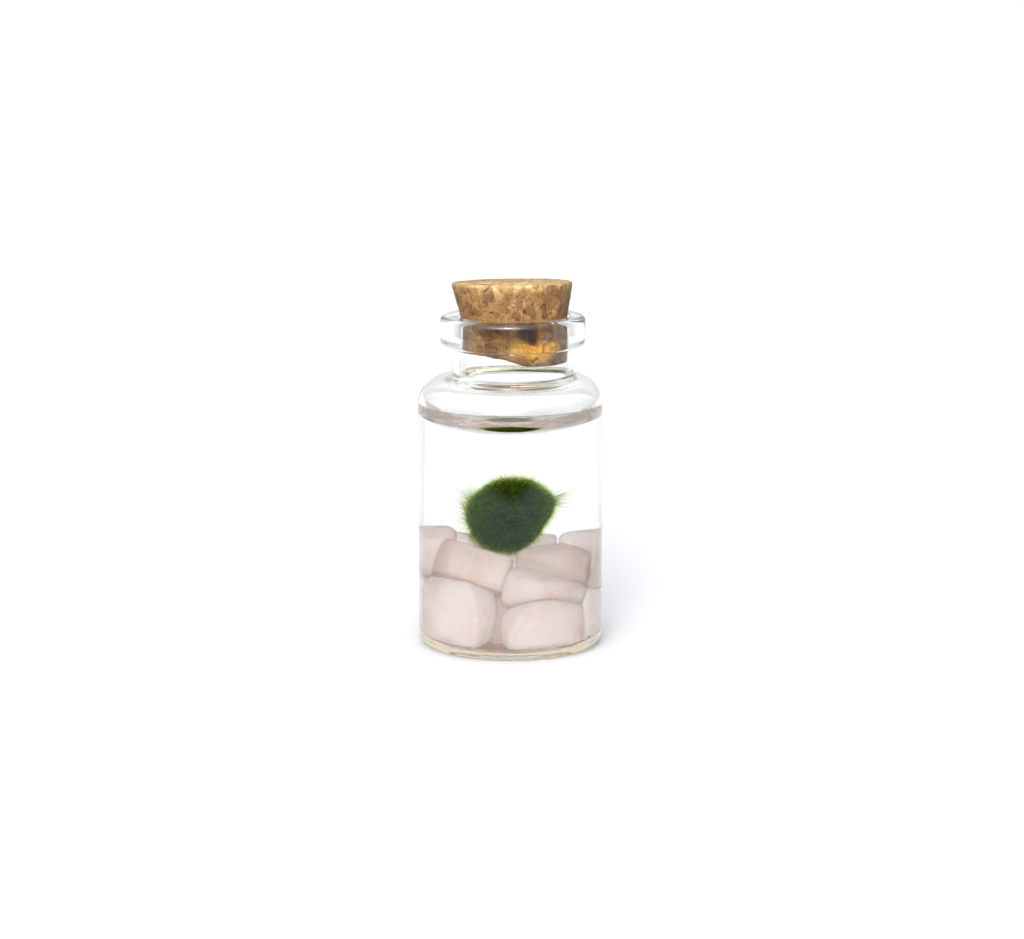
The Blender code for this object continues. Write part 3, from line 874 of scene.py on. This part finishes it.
def quartz_material(name, clarity, roughness):
    """Milky pale pink quartz."""
    material, tree, output = new_material(name)
    place = place_of(tree)
    veins = noise_at(tree, place, 360.0, detail=6.0, roughness=0.75, distortion=1.2)
    settings = {
        "Base Color": quartz_colour(tree, place),
        "Roughness": roughness,
        "IOR": QUARTZ_INDEX / WATER_INDEX,
        "Transmission Weight": clarity,
        "Normal": bumps(tree, veins, 0.5, 0.5 * MM),
    }
    finish_surface(tree, output, settings)
    return material


def own_facets(stone, seed):
    """A stone's block faces and chipped corners, as pairs of normal and distance."""
    _, half, turns, _ = stone
    turn = Euler([math.radians(angle) for angle in turns]).to_matrix()
    axes = [turn.col[axis].normalized() for axis in range(3)]
    facets = [(way, size * MM) for axis, size in zip(axes, half) for way in (axis, -axis)]
    source = random.Random(seed)
    cuts = []
    for _ in range(STONE_CHIPS):
        slants = [source.choice((-1.0, 1.0)) * source.uniform(CHIP_LEAST_SLANT, 1.0) for _ in range(3)]
        cuts.append((turn @ Vector(slants), source.uniform(*CHIP_DEPTH)))
    for way, share in (*cuts, *STONE_CUTS.get(seed, ())):
        normal = Vector(way).normalized()
        corner = sum(size * MM * abs(axis.dot(normal)) for axis, size in zip(axes, half))
        facets.append((normal, corner * share))
    return facets


def reach_within(facets, directions, power):
    """How far a block with these facets reaches in each direction; its edges are rounded."""
    normals, distances = (np.array(column) for column in zip(*facets))
    shares = np.maximum(0.0, directions @ normals.T / distances) ** power
    return np.maximum(np.sum(shares, axis=1), 1e-30) ** (-1.0 / power)


def neighbour_facets(index, blocks):
    """Faces that part a stone from each stone near it, halfway between their blocks."""
    here = Vector(STONES[index][0]) * MM
    facets = []
    for other, block in enumerate(blocks):
        way = Vector(STONES[other][0]) * MM - here
        if other == index or way.length > NEIGHBOUR_REACH:
            continue
        normal = way.normalized()
        mine = reach_within(blocks[index], np.array([normal[:]]), BLOCK_POWER)[0]
        theirs = reach_within(block, -np.array([normal[:]]), BLOCK_POWER)[0]
        facets.append((normal, way.length * mine / (mine + theirs) - GAP / 4))
    return facets


def jar_facets(here):
    """Faces that keep a stone off the jar's floor and its rounded inner heel."""
    facets = [(Vector((0.0, 0.0, -1.0)), here.z - FLOOR_HEIGHT - FLOOR_RISE - WALL_CLEARANCE)]
    outward = math.atan2(here.y, here.x)
    heel = (INNER_HEEL_X - INNER_HEEL_Z) * math.sqrt(0.5) + INNER_HEEL_RADIUS
    for step in range(-3, 4):
        angle = outward + math.radians(20.0 * step)
        normal = Vector((math.cos(angle), math.sin(angle), -1.0)).normalized()
        facets.append((normal, heel - here.dot(normal) - WALL_CLEARANCE))
    return facets


def ball_facet(here):
    """The face that keeps a stone off the moss ball."""
    way = Vector(BALL_CENTRE) - here
    normal = way.normalized()
    support = (KEPT_CLEAR * normal).length
    return normal, way.length - support - GAP / 2


def distance_to_wall(here, directions):
    """The distance from a point inside the jar to its inner wall in each direction."""
    square = np.maximum(directions[:, 0] ** 2 + directions[:, 1] ** 2, 1e-9)
    middle = directions[:, 0] * here.x + directions[:, 1] * here.y
    rest = here.x ** 2 + here.y ** 2 - (INNER_RADIUS - WALL_CLEARANCE) ** 2
    return (np.sqrt(middle * middle - square * rest) - middle) / square


def make_stone(index, blocks, material):
    """One stone: a rounded block within its facets and the jar's wall, with a worn skin."""
    middle, _, _, milkiness = STONES[index]
    here = Vector(middle) * MM
    around = neighbour_facets(index, blocks) + jar_facets(here) + [ball_facet(here)]

    def skin(directions):
        """Where the stone's surface lies in each direction."""
        limits = (
            reach_within(blocks[index], directions, BLOCK_POWER),
            reach_within(around, directions, STONE_POWER),
            distance_to_wall(here, directions),
        )
        reach = sum(limit ** -STONE_POWER for limit in limits) ** (-1.0 / STONE_POWER)
        for direction, length in zip(directions, reach):
            place = here + Vector(direction) * length
            worn = sum(noise.noise(place * frequency) * depth * MM for frequency, depth in STONE_WEAR)
            yield here + Vector(direction) * (length + worn)

    name = f"quartz_stone_{index + 1:02d}"
    mesh = shaped_sphere(name, 5 if here.y < FRONT_STONE_LIMIT else 4, skin)
    store(mesh, "milk", np.full(len(mesh.vertices), milkiness))
    add_piece(name, mesh, material, f"rose_quartz_{index + 1:02d}")


def quartz_class(index):
    """The class of quartz that a stone belongs to; the dense class brightens stones in shade, as painted
    light.
    """
    (_, depth, _), _, _, milkiness = STONES[index]
    if depth > DENSE_BEHIND or index == SHADED_LOW_RIGHT_STONE:
        return "dense"
    return "milky" if milkiness > MILKY_LIMIT else "clear"


def make_stones():
    """The bed of stones."""
    materials = {
        name: quartz_material(f"rose_quartz_{name}", *look) for name, look in QUARTZ_CLASSES.items()
    }
    blocks = [own_facets(stone, seed) for seed, stone in enumerate(STONES)]
    for index in range(len(STONES)):
        make_stone(index, blocks, materials[quartz_class(index)])


# ---- moss ball ----


def ball_radius(directions):
    """How far the ball's dense part reaches from its centre in each direction."""
    radius = 1.0 / np.linalg.norm(directions / BALL_HALF, axis=1)
    for way, swell, narrowness in BALL_BUMPS:
        way = np.array(way) / np.linalg.norm(way)
        radius += swell * np.clip(directions @ way, 0.0, 1.0) ** (2.0 * narrowness)
    return radius


def rooted(directions, depths):
    """Places at these depths below the ball's shape."""
    return BALL_CENTRE + directions * (ball_radius(directions) - depths)[:, None]


def ripples(directions, seed, frequency, count=14):
    """A smooth, repeatable vector for each direction, from waves that cross on the ball."""
    source = np.random.default_rng(seed)
    total = np.zeros_like(directions)
    for _ in range(count):
        wave = source.normal(size=3) * frequency
        phase = source.uniform(0.0, math.tau)
        push = source.normal(size=3)
        total += np.sin(directions @ wave + phase)[:, None] * push
    return total / math.sqrt(count)


def add_filaments(name, material, roots, ways, bends, lengths, radii, tones, shares=SHORT_RINGS):
    """A piece of thin three-sided filaments that taper to a point."""
    count = len(roots)
    rings = len(shares)
    size = 3 * rings + 1
    points = np.zeros((count, size, 3))
    aside = unit(np.cross(ways, unit(bends + 1e-6)))
    other = np.cross(ways, aside)
    for ring, share in enumerate(shares):
        middle = roots + (ways * share + bends * share * share) * lengths[:, None]
        width = (radii * (1.0 - TAPER * share))[:, None]
        for side in range(3):
            turn = side * math.tau / 3
            outward = aside * math.cos(turn) + other * math.sin(turn)
            points[:, ring * 3 + side] = middle + outward * width
    points[:, -1] = roots + (ways + bends) * lengths[:, None]
    faces = [(2, 1, 0)]
    for ring in range(0, size - 4, 3):
        for side in range(3):
            after = (side + 1) % 3
            faces.append((ring + side, ring + after, ring + 3 + after, ring + 3 + side))
    last = size - 4
    for side in range(3):
        faces.append((last + side, last + (side + 1) % 3, size - 1))
    mesh = bpy.data.meshes.new(name)
    mesh.from_pydata(
        points.reshape(-1, 3).tolist(),
        [],
        [tuple(size * index + corner for corner in face) for index in range(count) for face in faces],
    )
    store(mesh, "along", np.tile(np.append(np.repeat(shares, 3), 1.0), count))
    store(mesh, "tone", np.repeat(tones, size))
    add_piece(name, mesh, material, "moss_ball")


def moss_core_material():
    """The dark felt that the filaments grow from."""
    material, tree, output = new_material("moss_core")
    clumps = noise_at(tree, place_of(tree), 1400.0, detail=4.0)
    green = colour_ramp(tree, clumps, CORE_GREENS)
    finish_surface(tree, output, {"Base Color": green, "Roughness": 0.9})
    return material


def filament_colour(tree, tints):
    """A colour that changes along each filament, between the darkest and the brightest."""
    along = value_of(tree, "along")
    dark, bright = (colour_ramp(tree, along, tuple(zip((0.0, 0.5, 1.0), row))) for row in tints)
    return mixed(tree, value_of(tree, "tone"), dark, bright)


def filament_material(name, lit_tints, scattered, straight_on):
    """Filaments that are dark at the root, and let yellower light through than they send back."""
    material, tree, output = new_material(name)
    shader = add_node(tree, "ShaderNodeBsdfDiffuse", {"Color": filament_colour(tree, lit_tints)})
    through = filament_colour(tree, THROUGH_TINTS)
    for kind, share in (("Translucent", scattered), ("Transparent", straight_on)):
        passed = add_node(tree, f"ShaderNodeBsdf{kind}", {"Color": through})
        parts = {"Fac": share, 1: shader.outputs[0], 2: passed.outputs[0]}
        shader = add_node(tree, "ShaderNodeMixShader", parts)
    tree.links.new(shader.outputs[0], output.inputs["Surface"])
    return material


def make_moss_core():
    """The ball's dense inside."""

    def lumpy(directions):
        """Where the surface lies in each direction, with lumps and hollows."""
        depths = CORE_DEPTH * MM
        for seed, frequency, height in CORE_LUMPS:
            depths = depths - ripples(directions, seed, frequency)[:, 0] * height * MM
        return rooted(directions, depths)

    mesh = shaped_sphere("moss_core", 5, lumpy)
    add_piece("moss_core", mesh, moss_core_material(), "moss_ball")


def moss_tones(directions, source):
    """How bright each filament is: few are bright, and they gather in patches."""
    least, chance, patch, height = TONE_SHARES
    patches = ripples(directions * TONE_SQUEEZE, *TONE_PATCHES)[:, 0]
    scatter = source.random(len(directions)) ** TONE_POWER
    return np.clip(least + chance * scatter + patch * patches + height * directions[:, 2], 0.0, 1.0)


def make_felt(name, seed, count, material):
    """Filaments that lie on the ball in every direction, a little more across it."""
    source = np.random.default_rng(seed)
    directions = unit(source.normal(size=(count, 3)))
    across = unit(np.cross(directions, FELT_AXIS)) * source.choice((-1.0, 1.0), (count, 1))
    round_ball, swirl, own = FELT_WAYS
    ways = round_ball * across + swirl * ripples(directions, *FELT_SWIRLS)
    ways += own * source.normal(size=(count, 3))
    ways -= directions * (np.sum(ways * directions, axis=1) - source.uniform(*FELT_LIFT, count))[:, None]
    ways = unit(ways)
    lengths = source.uniform(*FELT_LENGTHS, count) * MM
    bends = FELT_BENDS[0] * source.normal(size=(count, 3)) + FELT_BENDS[1] * directions
    roots = rooted(directions, source.uniform(*FELT_DEPTHS, count) * MM)
    radii = source.uniform(*FELT_RADII, count) * MM
    tones = moss_tones(directions, source)
    add_filaments(name, material, roots, ways, bends, lengths, radii, tones)


def make_fuzz(name, seed, count, material):
    """Short fine filaments that stand off the ball."""
    source = np.random.default_rng(seed)
    directions = unit(source.normal(size=(count, 3)))
    roots = rooted(directions, source.uniform(*FUZZ_DEPTHS, count) * MM)
    outward, swirl, own = FUZZ_WAYS
    ways = outward * directions + swirl * ripples(directions, *FUZZ_SWIRLS)
    ways = unit(ways + own * source.normal(size=(count, 3)))
    bends = FUZZ_BEND * source.normal(size=(count, 3))
    lengths = source.uniform(*FUZZ_LENGTHS, count) * MM
    radii = source.uniform(*FUZZ_RADII, count) * MM
    tones = np.clip(moss_tones(directions, source) + FUZZ_BRIGHTER, 0.0, 1.0)
    add_filaments(name, material, roots, ways, bends, lengths, radii, tones)


def make_hairs(name, seed, material):
    """Long thin hairs: a few all round the ball, and a tuft on each side."""
    source = np.random.default_rng(seed)
    outward, leaning, own = HAIR_WAYS
    roots, ways, lengths = [], [], []
    for middle, lean, spread, count, reach in HAIR_GROUPS:
        places = unit(np.array(middle) + spread * source.normal(size=(count, 3)))
        roots.append(rooted(places, HAIR_DEPTH * MM))
        led = outward * places + leaning * np.array(lean)
        ways.append(unit(led + own * source.normal(size=(count, 3))))
        lengths.append(source.uniform(*HAIR_LENGTHS, count) * reach)
    roots, ways, lengths = np.vstack(roots), np.vstack(ways), np.concatenate(lengths)
    count = len(roots)
    bends = HAIR_BEND * source.normal(size=(count, 3))
    radii = source.uniform(*HAIR_RADII, count) * MM
    tones = source.uniform(*HAIR_TONES, count)
    add_filaments(name, material, roots, ways, bends, lengths, radii, tones, HAIR_RINGS)


def make_moss():
    """The ball: a dark core under felt, fuzz and long hairs."""
    felt, fuzz, hair = (filament_material(*look) for look in FILAMENT_LOOKS)
    make_moss_core()
    make_felt("moss_felt", FELT_SEED, FILAMENTS_PER_PIECE, felt)
    for index in range(FUZZ_PIECES):
        make_fuzz(f"moss_fuzz_{index + 1}", FUZZ_SEED + index, FILAMENTS_PER_PIECE, fuzz)
    make_hairs("moss_hairs", HAIR_SEED, hair)


# ---- stage ----


def darker(colour, share):
    """A darker tone of a colour."""
    return tuple(value * share for value in colour)


def stage_material(name, colour, glow=0.0):
    """A matt surface with a very faint grain, which may glow beneath the jar's base as a painted pool of
    light.
    """
    material, tree, output = new_material(name)
    place = place_of(tree)
    tones = ((0.3, darker(colour, GRAIN_SHARE)), (0.7, colour))
    away = vector_maths(tree, "LENGTH", place, result="Value")
    settings = {
        "Base Color": colour_ramp(tree, noise_at(tree, place, 40.0), tones),
        "Roughness": 1.0,
        "Specular IOR Level": 0.0,
        # Painted light: the floor glows warm beneath the jar's base.
        "Emission Color": PAINTED_GLOW_TINT,
        "Emission Strength": ranged(tree, away, *PAINTED_GLOW_RADII, glow, 0.0),
    }
    finish_surface(tree, output, settings)
    return material


def stage_sheet(name, points, faces, material):
    """A flat sheet of the stage."""
    mesh = bpy.data.meshes.new(name)
    mesh.from_pydata(points, [], faces)
    mesh.materials.append(material)
    sheet = add_object(name, mesh)
    sheet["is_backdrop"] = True
    return sheet


def row_sheet(name, rows, material):
    """A sheet that follows rows of (y, z, half width) across the stage."""
    points = [(side * half_width, y, z) for y, z, half_width in rows for side in (-1.0, 1.0)]
    faces = [(2 * i, 2 * i + 1, 2 * i + 3, 2 * i + 2) for i in range(len(rows) - 1)]
    return stage_sheet(name, points, faces, material)


def dark_card(step):
    """One of the dark cards; each lies on the one before and reaches a little less far."""
    wider = 1.0 + DARK_CARD_SPREAD * (len(DARK_CARD_SHARES) - 1 - step)
    rows = []
    for y, half_width in DARK_CARD_ROWS:
        nearer = y * (2.0 - wider) if y > DARK_CARD_FAR else y
        rows.append((nearer, (1.0 + 0.5 * step) * MM, half_width * wider))
    material = stage_material(f"card_dark_{step + 1}", darker(REFLECTED_SHADE_GREY, DARK_CARD_SHARES[step]))
    return row_sheet(f"dark_card_{step + 1}", rows, material)


def side_shade_card(name, side, share, start):
    """A grey card of painted shade on the floor beside the jar; the darker ones lie on top."""
    places = (
        (start, SIDE_CARD_NEAR),
        (SIDE_CARD_END, SIDE_CARD_NEAR),
        (SIDE_CARD_END, SIDE_CARD_FAR),
        (start, SIDE_CARD_FAR),
    )
    height = (1.0 - 0.5 * share) * MM
    points = []
    for angle, reach in places:
        turn = math.radians(angle)
        points.append((side * reach * math.sin(turn), reach * math.cos(turn), height))
    face = (3, 2, 1, 0) if side < 0.0 else (0, 1, 2, 3)
    return stage_sheet(name, points, [face], stage_material(name, darker(FLOOR_WHITE, share)))


def make_stage():
    """A pale floor with a painted pool of light beneath the jar, cards in front that only reflections
    show, and cards of painted shade that only glass shows.
    """
    row_sheet("floor", FLOOR_OUTLINE, stage_material("floor_white", FLOOR_WHITE, PAINTED_GLOW_STRENGTH))
    front_cards = [row_sheet("grey_card", GREY_CARD_OUTLINE, stage_material("card_grey", REFLECTED_SHADE_GREY))]
    front_cards += [dark_card(step) for step in range(len(DARK_CARD_SHARES))]
    side_cards = [side_shade_card(f"side_shade_card_{index + 1}", *row) for index, row in enumerate(SIDE_SHADE_CARDS)]
    for card in front_cards + side_cards:
        card.visible_camera = False
        card.visible_diffuse = False
        card.visible_shadow = False
    for card in front_cards:
        card.visible_transmission = False


# ---- light and camera ----


def make_surround():
    """A white surround that is brighter overhead and brightest at the front left."""
    world = bpy.data.worlds.new("white_surround")
    bpy.context.scene.world = world
    world.use_nodes = True
    tree = world.node_tree
    way = add_node(tree, "ShaderNodeTexCoord").outputs["Generated"]
    facing = vector_maths(tree, "DOT_PRODUCT", way, LIGHT_WAY, result="Value")
    lobe = maths(tree, "POWER", maths(tree, "MAXIMUM", facing, 0.0), LOBE_NARROWNESS)
    height = add_node(tree, "ShaderNodeSeparateXYZ", {"Vector": way}).outputs["Z"]
    overhead = maths(tree, "POWER", maths(tree, "MAXIMUM", height, 0.0), 2.0)
    around = maths(tree, "MULTIPLY_ADD", overhead, OVERHEAD_STRENGTH, SURROUND_STRENGTH)
    strength = maths(tree, "MULTIPLY_ADD", lobe, LOBE_STRENGTH, around)
    background = tree.nodes["Background"]
    tree.links.new(mixed(tree, lobe, SURROUND_TINT, LAMP_TINT), background.inputs["Color"])
    tree.links.new(strength, background.inputs["Strength"])


def make_lamp():
    """One soft lamp at the front left."""
    lamp = bpy.data.lights.new("soft_lamp", "AREA")
    lamp.shape = "DISK"
    lamp.size = LAMP_SIZE
    lamp.energy = LAMP_POWER
    lamp.color = LAMP_TINT
    item = add_object("soft_lamp", lamp)
    item.location = LIGHT_WAY * LAMP_DISTANCE
    item.rotation_euler = (-LIGHT_WAY).to_track_quat("-Z", "Y").to_euler()


def make_camera():
    """The camera, slightly above the jar."""
    data = bpy.data.cameras.new("camera")
    data.lens = CAMERA_LENS
    data.sensor_width = CAMERA_SENSOR
    data.clip_start = CAMERA_CLIP
    camera = add_object("camera", data)
    camera.location = CAMERA_PLACE
    way = Vector(CAMERA_AIM) - Vector(CAMERA_PLACE)
    camera.rotation_euler = way.to_track_quat("-Z", "Y").to_euler()
    bpy.context.scene.camera = camera


def set_look():
    """How light is followed and shown."""
    scene = bpy.context.scene
    scene.view_settings.view_transform = "Standard"
    scene.cycles.max_bounces = 48
    scene.cycles.transmission_bounces = 32
    scene.cycles.glossy_bounces = 12
    scene.cycles.diffuse_bounces = 12
    scene.cycles.transparent_max_bounces = 48
    scene.cycles.use_denoising = True


make_camera()
make_surround()
make_lamp()
make_stage()
make_jar()
make_water()
make_cork()
make_stones()
make_moss()
set_look()

boxes = {"cad": cad_box, "visual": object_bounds()}
{name: [list(corner) for corner in box] for name, box in boxes.items()}
